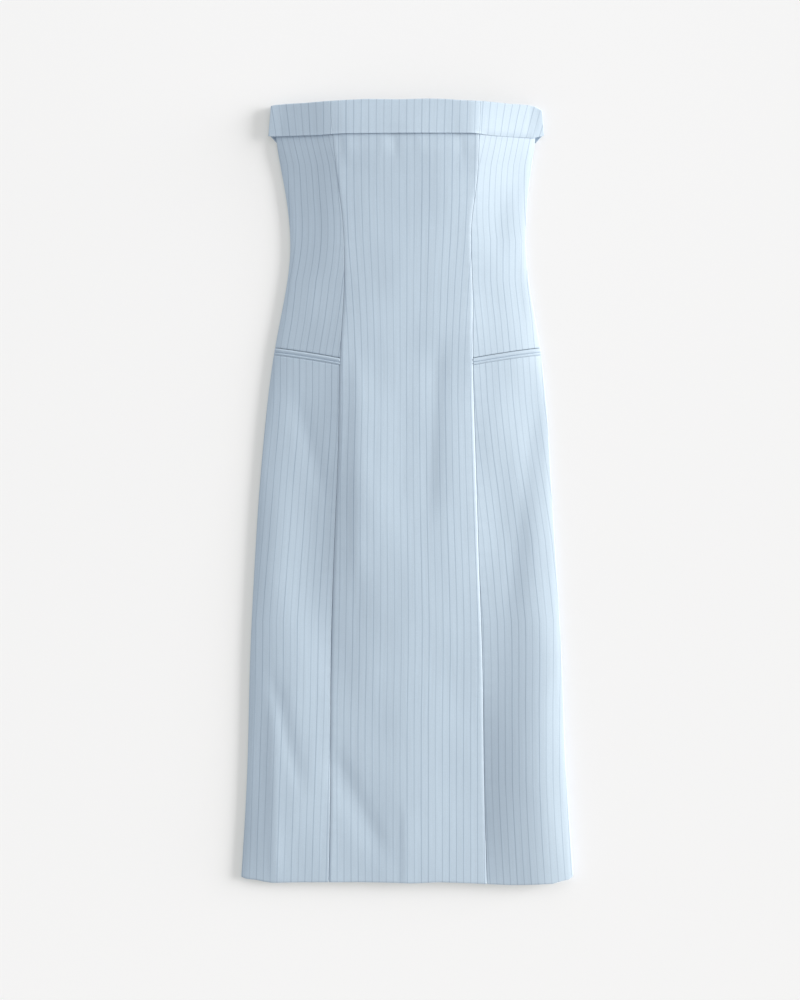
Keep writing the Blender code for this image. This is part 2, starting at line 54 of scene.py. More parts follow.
SIDE_EDGE = 6.3        # height of the front's outer face along the side seams
SIDE_TURN = SIDE_EDGE - 2 * CLOTH - LIE_GAP    # there the back turns up to meet it
SIDE_TURN_WIDTH = 22.0  # over this width
SIDE_ROLL = 0.6        # least height of the soft roll beside each side seam
SIDE_ROLL_WIDTH = 9.0
SEAM_ROLL_WIDTH = 5.0  # the centre panel curls down to its seams over this width
PINCH = 0.2            # the side panels lie this much lower, and the centre panel's edges dip to them
PINCH_WIDTH = 1.8
RIPPLE = 0.09          # height of the small ripples beside the princess seams
RIPPLE_REACH = 9.0
UNEVEN_LONG = 0.14     # height of the faint unevenness of all the cloth, in longer waves
UNEVEN_SHORT = 0.10    # and in shorter ones
UNEVEN_INLAND = 30.0   # it fades over this width towards the side seams

NECK_Y = 534.5         # the body's own top edge at the centre, inside the turn of the cuff
NECK_EASE = 2.5        # reach over which the corners of its line are rounded
HEM_Y = -536.6
HEM_TURN = 38.0        # depth of the turned-up hem inside
HEM_EXTRA = 1.0        # what it adds to the thickness
HEM_STEP = 2.5         # width of the step where it begins
WAIST_LIFT_END = 430.0     # below this the back lies on the floor, not on the cuff
WAIST_LIFT_START = 474.0   # above this it lies on the back of the cuff

POCKET_SEAM_Y = 182.0  # the pocket mouth where it meets the princess seam
POCKET_SLANT = 14.5    # and how much higher it is at the side seam
POCKET_BOW = 0.8       # the pocket mouth bows up a little between its ends
MOUTH_GAP = 0.6        # the pocket mouth stands a little open
LIP_UPPER = 5.4        # width of the two welts of a pocket
LIP_LOWER = 3.8
LIP_SWELL = 0.8        # how far each welt's fold stands proud
LIP_GAP = 0.1          # free space between the two welts
LIP_GAPS = 0.3         # that space and the one between the lower welt and the skirt together
LIP_STRIPE = 0.13      # place of the first pinstripe on the welts, counted in stripes from the mouth

ZIP_END_Y = 165.0      # the zip ends just below the pockets' line
ZIP_BELOW_NECK = 4.0   # and starts this far under the top edge
ZIP_WIDTH = 24.0
ZIP_THICK = 0.8
COIL_HEIGHT = 1.1
COIL_HALF_WIDTH = 2.6
TOOTH_PITCH = 1.45
# The slider and its pull: how far under NECK_Y, half width, half length, height, and height over the tape.
ZIP_BLOCKS = (("zip_slider", 11.0, 2.9, 4.6, 2.6, 0.4), ("zip_pull", 23.0, 1.9, 7.6, 0.9, 1.7))
BACK_INSET = 0.4       # the back ends this much inside the front's side edges
BACK_SHORT = 1.0       # and this much above its hem
BACK_LEAN = 0.06       # the back's stripes lean by this much at the side seams
BACK_STRIPE = 0.25     # place of the back's first stripe beside its centre seam
VENT_TOP_Y = -310.0
VENT_HALF_WIDTH = 1.7  # half of the vent's opening at the hem

PITCH = 9.6            # nominal distance between two pinstripes
STRIPE_WIDTH = 1.35
THREADS_PER_STRIPE = 17    # waves of the weave between two pinstripes

# One row for each section, from the neck to the hem: where the side seams and princess seams run.
SECTION_COLUMNS = ("y", "left", "seam_left", "seam_right", "right")
SECTIONS = (
    (540.0, -182.0, -105.0, 101.0, 181.0),
    (482.0, -179.0, -101.0, 99.0, 177.0),
    (425.0, -169.5, -94.5, 96.5, 169.5),
    (370.0, -161.5, -87.5, 89.5, 165.0),
    (320.0, -160.5, -85.5, 89.0, 165.0),
    (270.0, -167.0, -86.0, 91.0, 171.0),
    (215.0, -177.5, -89.5, 91.0, 181.0),
    (160.0, -186.5, -92.0, 91.5, 188.5),
    (90.0, -194.5, -93.0, 93.5, 194.5),
    (0.0, -202.5, -96.0, 96.5, 200.0),
    (-110.0, -209.5, -100.5, 100.0, 206.5),
    (-240.0, -215.5, -104.0, 104.5, 214.0),
    (-380.0, -219.0, -104.5, 106.5, 219.0),
    (-470.0, -223.5, -105.5, 108.5, 225.0),
    (-540.0, -228.0, -107.0, 110.5, 230.0),
)

# How high the front stands over SIDE_EDGE: at the side seams, in each side panel at OUTER and INNER of the
# way from the side seam to the princess seam, at those seams, and in the centre panel NEAR each seam and
# in the middle. edge is how far the centre panel's edges stand over their seams on top of that.
OUTER, INNER, NEAR = 0.25, 0.62, 0.2
HEIGHT_COLUMNS = ("y", "side_left", "outer_left", "inner_left", "seam_left", "near_left", "middle",
                  "near_right", "seam_right", "inner_right", "outer_right", "side_right", "edge")
HEIGHTS = (
    (540.0, 0.0, 3.5, 9.0, 14.5, 17.0, 19.0, 19.5, 18.0, 12.0, 5.0, 0.0, 0.2),
    (485.0, 0.0, 4.0, 10.0, 16.5, 19.5, 22.0, 22.5, 21.0, 13.5, 5.5, 0.0, 0.2),
    (430.0, 0.0, 4.0, 10.0, 16.0, 18.5, 21.0, 21.5, 19.5, 12.0, 4.5, 0.0, 0.2),
    (370.0, 0.0, 3.5, 9.0, 13.5, 15.5, 17.0, 17.0, 15.0, 9.5, 4.0, 0.0, 0.2),
    (315.0, 0.0, 3.5, 8.5, 12.5, 14.0, 15.5, 14.5, 13.0, 9.0, 4.0, 0.0, 0.3),
    (260.0, 0.0, 3.5, 7.5, 11.5, 13.5, 14.5, 14.0, 12.5, 8.5, 4.0, 0.0, 0.4),
    (215.0, 0.0, 3.5, 8.0, 13.0, 14.5, 15.5, 15.5, 14.5, 10.5, 5.5, 0.0, 0.5),
    (160.0, 0.0, 4.0, 8.0, 12.5, 14.0, 14.0, 13.5, 13.0, 9.5, 5.0, 0.0, 0.7),
    (110.0, 0.0, 3.5, 6.5, 12.0, 14.5, 13.5, 14.0, 12.0, 9.0, 3.5, 0.0, 0.7),
    (55.0, 0.0, 3.0, 5.5, 10.5, 14.0, 12.5, 13.0, 10.5, 7.5, 3.5, 0.0, 0.7),
    (0.0, 0.0, 3.5, 4.5, 9.0, 13.5, 12.0, 12.0, 9.5, 6.0, 4.5, 0.5, 0.7),
    (-55.0, 0.0, 4.0, 4.0, 7.5, 12.0, 11.5, 10.5, 8.5, 5.0, 5.0, 1.0, 0.7),
    (-110.0, 0.0, 4.0, 3.5, 6.0, 10.0, 10.5, 9.5, 7.0, 5.5, 5.5, 1.5, 0.7),
    (-180.0, 0.0, 4.0, 4.5, 4.0, 7.5, 9.0, 7.5, 5.5, 6.0, 6.5, 2.0, 0.6),
    (-250.0, 0.0, 4.0, 6.0, 4.0, 6.5, 7.5, 6.0, 4.5, 6.5, 7.5, 3.0, 0.5),
    (-310.0, 0.0, 4.0, 6.5, 5.0, 6.0, 7.5, 5.5, 3.5, 8.0, 9.0, 4.0, 0.5),
    (-380.0, 0.0, 4.0, 6.5, 5.5, 6.5, 7.0, 5.0, 3.0, 9.5, 10.5, 5.5, 0.4),
    (-430.0, 0.0, 4.5, 7.0, 6.0, 5.5, 7.5, 5.5, 3.5, 10.0, 10.5, 5.5, 0.4),
    (-480.0, 0.0, 4.5, 6.5, 6.5, 6.5, 8.0, 6.5, 5.0, 10.0, 10.0, 5.0, 0.3),
    (-540.0, 0.0, 3.0, 5.0, 6.0, 6.0, 7.0, 6.5, 6.0, 8.5, 8.5, 4.0, 0.3),
)

# How far the body's top edge and hem lie from NECK_Y and HEM_Y, across the width.
NECK_LINE = ((-189.0, 9.5), (-183.0, 7.0), (-163.0, 5.6), (-142.0, 5.2), (-98.0, 3.0), (-55.0, 1.2),
             (-10.0, 2.0), (30.0, 1.0), (55.0, 1.7), (75.0, 3.2), (107.0, 4.2), (141.0, 6.6), (164.0, 7.0),
             (174.0, 8.2), (181.0, 11.0), (186.0, 15.0))
HEM_LINE = ((-228.0, 5.5), (-221.0, 3.0), (-206.0, 1.6), (-197.0, -0.4), (-184.0, -2.2), (-146.0, -1.2),
            (-70.0, -0.8), (-31.0, -1.2), (8.0, -2.4), (46.0, -0.8), (84.0, -2.2), (112.0, -3.6),
            (142.0, -4.6), (161.0, -4.4), (188.0, -3.4), (201.0, -2.8), (214.0, 0.8), (224.0, 2.8),
            (230.0, 7.5))

# The cuff's lower edge from side to side, and the x of its two ends at the top and at the lower edge.
CUFF_EDGE = ((-190.0, 487.0), (-179.0, 486.2), (-121.0, 486.2), (-100.0, 487.3), (-84.0, 487.7),
             (91.0, 487.7), (103.0, 486.9), (114.0, 485.6), (130.0, 484.9), (172.0, 484.3), (190.0, 489.5))
CUFF_END_TOP_Y = 531.0
CUFF_END_LOW_Y = 490.0
CUFF_LEFT = (-186.0, -189.4)
CUFF_RIGHT = (185.0, 188.9)
CUFF_BACK_LOW_Y = 478.5    # the back of the cuff reaches lower than the front
CUFF_BACK_CORNER = 11.5    # width of its slanted corners
CUFF_OFF = 0.9         # how far the cuff stands off the body
CUFF_FLARE = 0.5       # and how much further at its lower edge
CUFF_END_SLOPE = 0.12  # the cuff goes on falling beyond the side seams
CUFF_END_EASE = 5.0    # from a soft bend of about this width
CUFF_END_RISE = 2.4    # and its back rises to meet it
CUFF_RISE_WIDTH = 16.0
CUFF_BRIDGE = 10.0     # the doubled cloth is stiff and evens out the body's form over this length
CUFF_REST_LOW = 2.2    # lowest height of the front cuff, over the back one, at its lower edge
CUFF_REST_TOP = 5.4    # and at the top edge, where both of them turn over the body
CUFF_REST_EASE = 1.0   # the two heights run into each other over about this one
CUFF_TURN = 0.4        # inside radius where the cuff turns over the top edge
CUFF_TURN_FROM = 0.8   # share of the cuff's rows below the turn
CUFF_SWING = 0.75      # share of the turn in which the wall swings round, before it drops to the cloth
CUFF_TURN_LENGTH = 4.0     # length of cloth in the turn
CUFF_TIGHT = 0.9       # on the lit side the cuff lies closer to the body, by this share
CUFF_PRESSED = 0.85    # and its lower fold is pressed flatter there, by this share
CUFF_PRESSED_WIDTH = 9.0
CUFF_TIGHT_FROM = 88.0     # the lit side begins here
CUFF_TIGHT_WITHIN = 24.0   # and the change takes this width
CUFF_WAVE = 0.16       # height of the shallow waves along the lower edge
CUFF_LIP = 0.4         # the cuff's lower fold curls outwards by this much
CUFF_LIP_WIDTH = 6.0
CUFF_EDGE_TURN = 0.1   # the turned edge of the cuff's pieces, so slight that no seam shows on it
CUFF_HALF_SEAM = 0.02  # half of the free space between them
CUFF_PITCH = 10.4      # distance between two pinstripes of the cuff
CUFF_STRIPE = 0.43     # place of its first stripe, counted in stripes
# How far its stripes lean to the right downwards, at the left and the right end of each front piece.
CUFF_LEANS = {"left": (0.18, 0.0), "centre": (0.0, -0.04), "right": (-0.06, -0.34)}

# Soft folds of the front, all running towards the hem: x and y of one end and of the other, how wide
# each is to its left and right, and how high, below zero a trough.
FOLDS = (
    # left side of the skirt
    (-158.0, 150.0, -106.0, -30.0, 14.0, 12.0, -0.8),
    (-190.0, -230.0, -140.0, -430.0, 10.0, 12.0, -0.9),
    (-184.0, -270.0, -180.0, -560.0, 10.0, 10.0, 0.9),
    # right side of the skirt
    (180.0, 120.0, 140.0, -180.0, 14.0, 18.0, -1.0),
    # centre panel
    (44.0, 220.0, 28.0, -60.0, 16.0, 12.0, -1.0),
    (-66.0, 200.0, -68.0, -140.0, 10.0, 16.0, 0.9),
    (-112.0, -340.0, -22.0, -520.0, 20.0, 14.0, -1.3),
    (-2.0, -410.0, -2.0, -590.0, 5.0, 16.0, 0.7),
    # sides of the bodice
    (138.0, 440.0, 120.0, 300.0, 14.0, 14.0, -0.6),
    (-128.0, 430.0, -112.0, 300.0, 14.0, 14.0, -0.5),
)
# Small pull marks of the centre panel under the cuff, the first of them beside the left seam.
PULLS = (
    (-84.0, 510.0, -80.0, 440.0, 5.0, 12.0, 0.7),
    (-34.0, 505.0, -32.0, 452.0, 5.0, 7.0, 0.35),
    (-17.0, 505.0, -15.0, 446.0, 5.0, 4.0, -0.5),
    (18.0, 505.0, 20.0, 450.0, 7.0, 6.0, 0.3),
    (74.0, 505.0, 76.0, 440.0, 6.0, 5.0, -0.5),
)
# Soft creases of the back, for a half that lies to the left.
BACK_CREASES = (
    (-60.0, 330.0, -95.0, 150.0, 9.0, 9.0, 0.5),
    (-140.0, 120.0, -110.0, -120.0, 12.0, 12.0, 0.7),
    (-70.0, -150.0, -90.0, -420.0, 14.0, 14.0, 0.6),
    (-170.0, -220.0, -180.0, -500.0, 10.0, 10.0, 0.5),
    (-30.0, 60.0, -50.0, -160.0, 10.0, 10.0, 0.4),
)
FOLD_END = 60.0        # a fold or crease fades in and out over this length
FOLD_SIDE_FADE = 16.0  # and a fold towards the side seams over this one
CREASE_FROM_SIDE = 12.0     # the back's creases stay this far from the side seams
CREASE_FROM_MIDDLE = 6.0    # and from the centre seam
CREASE_FADE = 25.0          # and rise to their height over this width

# Where the pinstripes run: the place of a first one, counted in stripes, and for each y the distance
# between them and how far they lean to the right for each millimetre downwards.
STRIPES = {
    "centre": (0.43, ((520.0, 10.4, 0.0), (400.0, 10.3, 0.0), (344.0, 10.0, 0.0), (289.0, 9.45, 0.0),
                      (234.0, 9.05, 0.0), (179.0, 8.8, 0.0), (125.0, 8.75, 0.0), (42.0, 9.0, 0.0),
                      (-68.0, 9.25, 0.02), (-178.0, 9.55, 0.0), (-287.0, 9.65, -0.02), (-330.0, 9.65, 0.0),
                      (-540.0, 9.65, 0.0))),
    "bodice_left": (0.72, ((520.0, 8.2, 0.25), (447.0, 8.2, 0.22), (399.0, 8.6, 0.16), (344.0, 8.85, 0.02),
                           (289.0, 9.2, -0.12), (234.0, 9.1, -0.16), (180.0, 9.1, -0.17))),
    "bodice_right": (0.07, ((520.0, 7.7, -0.22), (447.0, 7.8, -0.22), (399.0, 8.2, -0.12),
                            (344.0, 8.6, 0.02), (289.0, 8.45, 0.05), (234.0, 8.6, 0.08),
                            (180.0, 8.6, 0.1))),
    "skirt_left": (0.1, ((180.0, 8.9, 0.0), (125.0, 8.9, -0.01), (42.0, 9.1, -0.05), (-68.0, 9.3, -0.03),
                         (-178.0, 9.6, -0.02), (-287.0, 9.5, -0.03), (-540.0, 9.6, -0.02))),
    "skirt_right": (0.57, ((180.0, 8.6, 0.05), (125.0, 8.65, 0.05), (42.0, 8.9, 0.07),
                           (-68.0, 9.4, 0.05), (-178.0, 9.65, 0.06), (-287.0, 9.4, 0.02),
                           (-397.0, 9.3, 0.02), (-540.0, 9.4, 0.06))),
}

# What a half of the back was cut to: width and length in millimetres, and area in square metres.
BACK_HALF_CUT = (229, 1072, 0.2110)


def spline(xs, ys):
    """The natural cubic spline through the points, as a function of an array: between two points a cubic
    whose bend runs straight from one end's to the other's."""
    xs, ys = np.asarray(xs, float), np.asarray(ys, float)
    gap, slope = np.diff(xs), np.diff(ys) / np.diff(xs)
    system, right_side = np.eye(len(xs)), np.zeros(len(xs))
    for i in range(1, len(xs) - 1):
        system[i, i - 1:i + 2] = gap[i - 1], 2 * (gap[i - 1] + gap[i]), gap[i]
        right_side[i] = 6 * (slope[i] - slope[i - 1])
    bend = np.linalg.solve(system, right_side)

    def at(x):
        x = np.clip(x, xs[0], xs[-1])
        i = np.clip(np.searchsorted(xs, x) - 1, 0, len(gap) - 1)
        a, b = xs[i + 1] - x, x - xs[i]
        curved = (bend[i] * a**3 + bend[i + 1] * b**3) / (6 * gap[i])
        return (curved + (ys[i] / gap[i] - bend[i] * gap[i] / 6) * a
                + (ys[i + 1] / gap[i] - bend[i + 1] * gap[i] / 6) * b)

    return at


UPWARDS = np.array(sorted(SECTIONS))
SECTION = {name: spline(UPWARDS[:, 0], UPWARDS[:, i]) for i, name in enumerate(SECTION_COLUMNS) if i}
FORM_UPWARDS = np.array(sorted(HEIGHTS))
FORM = {name: spline(FORM_UPWARDS[:, 0], FORM_UPWARDS[:, i]) for i, name in enumerate(HEIGHT_COLUMNS) if i}

# The places of those heights across the dress: a side panel is 1 wide and the centre panel 2.
STATIONS = (0.0, OUTER, INNER, 1.0, 1.0 + 2 * NEAR, 2.0, 3.0 - 2 * NEAR, 3.0, 4.0 - INNER, 4.0 - OUTER, 4.0)
# First and last station of each panel, so that the front bends at its seams. The cuff runs over them.
PANELS = ((0, 3), (3, 7), (7, 10))
IN_ONE = ((0, 10),)


def eased(x, table, reach):
    """A line through the points of a table, its corners rounded over a reach to both sides: the mean of
    five copies of it, shifted by up to that reach."""
    shifts = (-reach, -reach / 2, 0.0, reach / 2, reach)
    return sum(np.interp(x + shift, *zip(*table)) for shift in shifts) / len(shifts)


def neck_y(x):
    """The body's top edge, its corners rounded."""
    return NECK_Y - eased(x, NECK_LINE, NECK_EASE)


def hem_y(x):
    """The hem runs straight between the table's points, which keeps its two corners crisp."""
    return HEM_Y + np.interp(x, *zip(*HEM_LINE))


def cuff_low(x):
    """The cuff's lower edge, straight between the table's points."""
    return np.interp(x, *zip(*CUFF_EDGE))


def smooth_step(t):
    """3 t squared less 2 t cubed, from 0 at 0 to 1 at 1 and level at both."""
    t = np.clip(t, 0.0, 1.0)
    return t * t * (3 - 2 * t)


def rolled(distance, width):
    """A quarter sine: 0 at the edge and 1 from width inwards. It goes on below the edge."""
    return np.sin(np.pi / 2 * np.clip(distance / width, -1.0, 1.0))


def cuff_lift(y):
    """Height of the back over the floor, where it lies on the back of the cuff."""
    share = smooth_step((y - WAIST_LIFT_END) / (WAIST_LIFT_START - WAIST_LIFT_END))
    return (CUFF + LIE_GAP) * share


def near_end(distance, height, width):
    """A soft upturn that is height high at the end and gone that width further in."""
    return height * (1 - smooth_step(distance / width))


def fold_heights(rows, x, y):
    """Sum of soft folds: each a bell across its line, with its own width to either side, fading in and
    out along it."""
    total = np.zeros_like(x)
    for x0, y0, x1, y1, left_width, right_width, height in rows:
        length = np.hypot(x1 - x0, y1 - y0)
        along = ((x - x0) * (x1 - x0) + (y - y0) * (y1 - y0)) / length
        across = ((y - y0) * (x1 - x0) - (x - x0) * (y1 - y0)) / length
        end = min(FOLD_END, length / 2)
        ends = smooth_step(along / end) * smooth_step((length - along) / end)
        width = np.where(across < 0, left_width, right_width)
        total += height * ends * np.exp(-(across / width) ** 2)
    return total


def station(x, s):
    """Place across the dress: 0 to 1 over the left side panel, to 3 over the centre and to 4 over the
    right side panel."""
    left = (x - s["left"]) / (s["seam_left"] - s["left"])
    centre = 1 + 2 * (x - s["seam_left"]) / (s["seam_right"] - s["seam_left"])
    right = 3 + (x - s["seam_right"]) / (s["right"] - s["seam_right"])
    return np.where(x < s["seam_left"], left, np.where(x > s["seam_right"], right, centre))


def lofted(x, y, runs):
    """Smooth heights through the table's, in each run of stations by itself: a cubic across the dress
    through cubics along it."""
    place = station(x, {name: curve(y) for name, curve in SECTION.items()})
    heights = [FORM[name](y) for name in HEIGHT_COLUMNS[1:-1]]
    total = np.zeros_like(x)
    for first, last in runs:
        knots = STATIONS[first:last + 1]
        shares = [spline(knots, unit)(place) for unit in np.eye(len(knots))]
        part = sum(share * height for share, height in zip(shares, heights[first:last + 1]))
        total = np.where((place > knots[0]) & (place <= knots[-1]), part, total)
    return total


def front_base(x, y):
    """Height of the front's outer face: the form, with the rolls at the side seams, the centre panel's
    edges over its seams, and the folds."""
    s = {name: curve(y) for name, curve in SECTION.items()}
    inside = np.minimum(x - s["seam_left"], s["seam_right"] - x)
    step = FORM["edge"](y) * rolled(np.maximum(inside, 0.0), SEAM_ROLL_WIDTH)
    nearest = np.minimum(x - s["left"], s["right"] - x)
    fade = 1 - np.exp(-(np.maximum(nearest, 0.0) / FOLD_SIDE_FADE) ** 2)
    roll = SIDE_ROLL * rolled(nearest, SIDE_ROLL_WIDTH)
    return SIDE_EDGE + cuff_lift(y) + roll + lofted(x, y, PANELS) + step + fold_heights(FOLDS, x, y) * fade


def front_surface(x, y):
    """The front with the finer things: the centre panel's edges dip to the side panels like a bell curve,
    the sewing of the princess seams draws the cloth into small ripples, two sines that die away from the
    seam, and products of long sines make all of it faintly uneven."""
    seam_left, seam_right = SECTION["seam_left"](y), SECTION["seam_right"](y)
    beside = np.minimum(np.abs(x - seam_left), np.abs(x - seam_right))
    inside = (x > seam_left) & (x < seam_right)
    pinch = -PINCH * np.where(inside, np.exp(-(beside / PINCH_WIDTH) ** 2), 1.0)
    ripple = RIPPLE * np.exp(-beside / RIPPLE_REACH) * (np.sin(y / 2.6 + 0.02 * x) + np.sin(y / 4.1 + 1.3))
    nearest = np.minimum(x - SECTION["left"](y), SECTION["right"](y) - x)
    inland = smooth_step(nearest / UNEVEN_INLAND)
    uneven = UNEVEN_LONG * np.sin(x / 17.0 + 1.9 * np.sin(y / 90.0)) * np.sin(y / 61.0 + 0.7 + x / 80.0)
    uneven += UNEVEN_SHORT * np.sin(x / 9.3 + y / 47.0) * np.sin(y / 33.0 + 2.0 - x / 60.0)
    return front_base(x, y) + pinch + ripple + uneven * inland + fold_heights(PULLS, x, y)


def upward_normal(height, x, y):
    """Unit normals of a height field, by central differences."""
    step = 0.25
    slope_x = (height(x + step, y) - height(x - step, y)) / (2 * step)
    slope_y = (height(x, y + step) - height(x, y - step)) / (2 * step)
    normal = np.stack([-slope_x, -slope_y, np.ones_like(x)], axis=-1)
    return normal / np.linalg.norm(normal, axis=-1, keepdims=True)


def front_cloth(x, y, swell=0.0, extra=0.0):
    """Outer and inner face points of a front piece: the surface, and the same moved in by the cloth."""
    outer = np.stack([x, y, front_surface(x, y)], axis=-1)
    normal = upward_normal(front_surface, x, y)
    thick = np.broadcast_to(CLOTH + extra, x.shape)[..., None]
    lifted = np.broadcast_to(swell, x.shape)[..., None]
    return outer + normal * lifted, outer - normal * thick


def stripe_phase(part, x, y):
    """Count of pinstripes up to a point: the distance from the panel's own guide line, which leans as the
    table says, over the distance between two stripes there."""
    offset, rows = STRIPES[part]
    ys, pitch, lean = (np.array(column) for column in zip(*sorted(rows)))
    path = np.arange(ys[0], ys[-1] + 1.0)
    guide = -np.cumsum(np.interp(path, ys, lean))
    guide -= guide[len(guide) // 2]
    return (x - np.interp(y, path, guide)) / np.interp(y, ys, pitch) + offset


def grid(columns, rows):
    """Two arrays of u and v, a row of the grid for each v."""
    return np.meshgrid(columns, rows)


def graded(count, near, near_count):
    """count places from 0 to 1, of which near_count at each end lie within near of it, closer together
    the nearer they are to it."""
    edge = near * (np.arange(near_count) / near_count) ** 1.3
    middle = np.linspace(near, 1 - near, count - 2 * near_count)
    return np.concatenate([edge, middle, 1 - edge[::-1]])


def shell_mesh(name, outer, inner, uv, edge=EDGE):
    """A closed wall from two grids of points: the outer grid, the inner one turned over, and between
    their borders three rings on a half circle, which is the turned edge."""
    rows, columns = outer.shape[:2]
    count = rows * columns
    index = np.arange(count).reshape(rows, columns)
    a, b, c, d = index[:-1, :-1], index[:-1, 1:], index[1:, 1:], index[1:, :-1]
    top = np.stack([a, b, c, d], axis=-1).reshape(-1, 4)
    bottom = np.stack([a, d, c, b], axis=-1).reshape(-1, 4) + count
    border = np.concatenate([index[0, :-1], index[:-1, -1], index[-1, :0:-1], index[:0:-1, 0]])
    inside = index[1:-1, 1:-1][np.clip(border // columns - 1, 0, rows - 3),
                               np.clip(border % columns - 1, 0, columns - 3)]
    flat_outer, flat_inner = outer.reshape(-1, 3), inner.reshape(-1, 3)
    middle = (flat_outer[border] + flat_inner[border]) / 2
    half = (flat_outer[border] - flat_inner[border]) / 2
    radius = np.linalg.norm(half, axis=1, keepdims=True)
    out = flat_outer[border] - flat_outer[inside]
    out -= half * (np.sum(out * half, axis=1, keepdims=True) / radius**2)
    out /= np.linalg.norm(out, axis=1, keepdims=True)
    angles = np.radians([50.0, 90.0, 130.0])
    rings = [middle + half * np.cos(t) + out * edge * np.sin(t) for t in angles]
    size = len(border)
    loops = [border] + [2 * count + i * size + np.arange(size) for i in range(3)] + [border + count]
    rim = [np.stack([p, q, np.roll(q, -1), np.roll(p, -1)], axis=-1) for p, q in zip(loops, loops[1:])]
    points = np.concatenate([flat_outer, flat_inner] + rings) * MM
    faces = np.concatenate([top, bottom] + rim)
    place = np.concatenate([uv.reshape(-1, 2)] * 2 + [uv.reshape(-1, 2)[border]] * 3)
    return filled_mesh(name, points, faces, place)


def filled_mesh(name, points, faces, place):
    """Puts points, four-cornered faces and a cloth UV for each point into a new mesh."""
    mesh = bpy.data.meshes.new(name)
    mesh.vertices.add(len(points))
    mesh.vertices.foreach_set("co", points.astype(np.float32).ravel())
    mesh.loops.add(faces.size)
    mesh.loops.foreach_set("vertex_index", faces.astype(np.int32).ravel())
    mesh.polygons.add(len(faces))
    mesh.polygons.foreach_set("loop_start", np.arange(0, faces.size, 4, dtype=np.int32))
    mesh.polygons.foreach_set("use_smooth", np.ones(len(faces), dtype=bool))
    mesh.update(calc_edges=True)
    layer = mesh.uv_layers.new(name="cloth")
    layer.data.foreach_set("uv", place[faces.ravel()].astype(np.float32).ravel())
    mesh.validate()
    return mesh


def placed(name, mesh, material, nodes=()):
    """Puts the mesh into the scene as a piece of the dress."""
    piece = bpy.data.objects.new(name, mesh)
    bpy.context.scene.collection.objects.link(piece)
    mesh.materials.append(material)
    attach(piece, "root")
    if nodes:
        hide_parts(*nodes)
    return piece


def cut_piece(name, node, outer, inner, uv, material, edge=EDGE):
    """A piece of suiting: its shell, put in the place of its solid."""
    piece = placed(name, shell_mesh(name, outer, inner, uv, edge), material, (node,))


# Materials


def value_node(tree, operation, *inputs, clamp=False):
    """A Math node with the given operation, whose inputs are sockets or numbers."""
    node = tree.nodes.new("ShaderNodeMath")
    node.operation = operation
    node.use_clamp = clamp
    for i, source in enumerate(inputs):
        if isinstance(source, (int, float)):
            node.inputs[i].default_value = source
        else:
            tree.links.new(source, node.inputs[i])
    return node.outputs[0]


def between(tree, source, low, high, to_low, to_high, smooth=False):
    """A Map Range node."""
    node = tree.nodes.new("ShaderNodeMapRange")
    node.interpolation_type = "SMOOTHSTEP" if smooth else "LINEAR"
    tree.links.new(source, node.inputs["Value"])
    for socket, number in zip(("From Min", "From Max", "To Min", "To Max"), (low, high, to_low, to_high)):
        node.inputs[socket].default_value = number
    return node.outputs["Result"]


def noise(tree, place, scale, detail, stretch=(1.0, 1.0, 1.0)):
    """A Noise Texture on a place, such as the dress's own in metres, stretched along its axes."""
    mapping = tree.nodes.new("ShaderNodeMapping")
    mapping.inputs["Scale"].default_value = stretch
    tree.links.new(place, mapping.inputs["Vector"])
    node = tree.nodes.new("ShaderNodeTexNoise")
    node.inputs["Scale"].default_value = scale
    node.inputs["Detail"].default_value = detail
    tree.links.new(mapping.outputs["Vector"], node.inputs["Vector"])
    return node.outputs["Fac"]


def mixed(tree, share, first, second, blend="MIX"):
    """A colour Mix node. share, first and second are sockets, or a number and colours."""
    node = tree.nodes.new("ShaderNodeMix")
    node.data_type = "RGBA"
    node.blend_type = blend
    for socket, source in ((node.inputs[0], share), (node.inputs[6], first), (node.inputs[7], second)):
        if isinstance(source, bpy.types.NodeSocket):
            tree.links.new(source, socket)
        else:
            socket.default_value = source if isinstance(source, float) else (*source, 1.0)
    return node.outputs[2]


